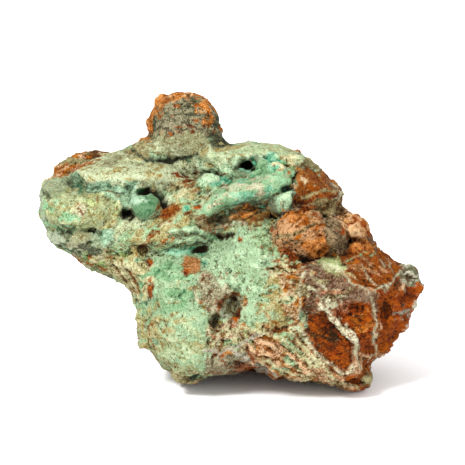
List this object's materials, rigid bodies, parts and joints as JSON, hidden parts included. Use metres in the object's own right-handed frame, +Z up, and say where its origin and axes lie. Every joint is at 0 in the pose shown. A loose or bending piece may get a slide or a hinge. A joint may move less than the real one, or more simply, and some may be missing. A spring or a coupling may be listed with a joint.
{
  "type": "mineral cluster",
  "caption": "Irregular natural stone cluster with a rounded boss on top, a ledge to one side, crusted ridges, knobs and hollows on its face, and a flat patch underneath to stand on.",
  "frame": {"origin": "middle of the stone's footprint box, on the plane it stands on", "axes": "+X along the stone's width, to the right as its green face is seen; +Y from the face towards the back; +Z up"},
  "size_m": [0.1282, 0.0726, 0.0963],
  "materials": {
    "stone": "rough, mint-green crust over rust-brown rock"
  },
  "bodies": {
    "root": {"moonstone_cluster": "stone"}
  },
  "joints": []
}
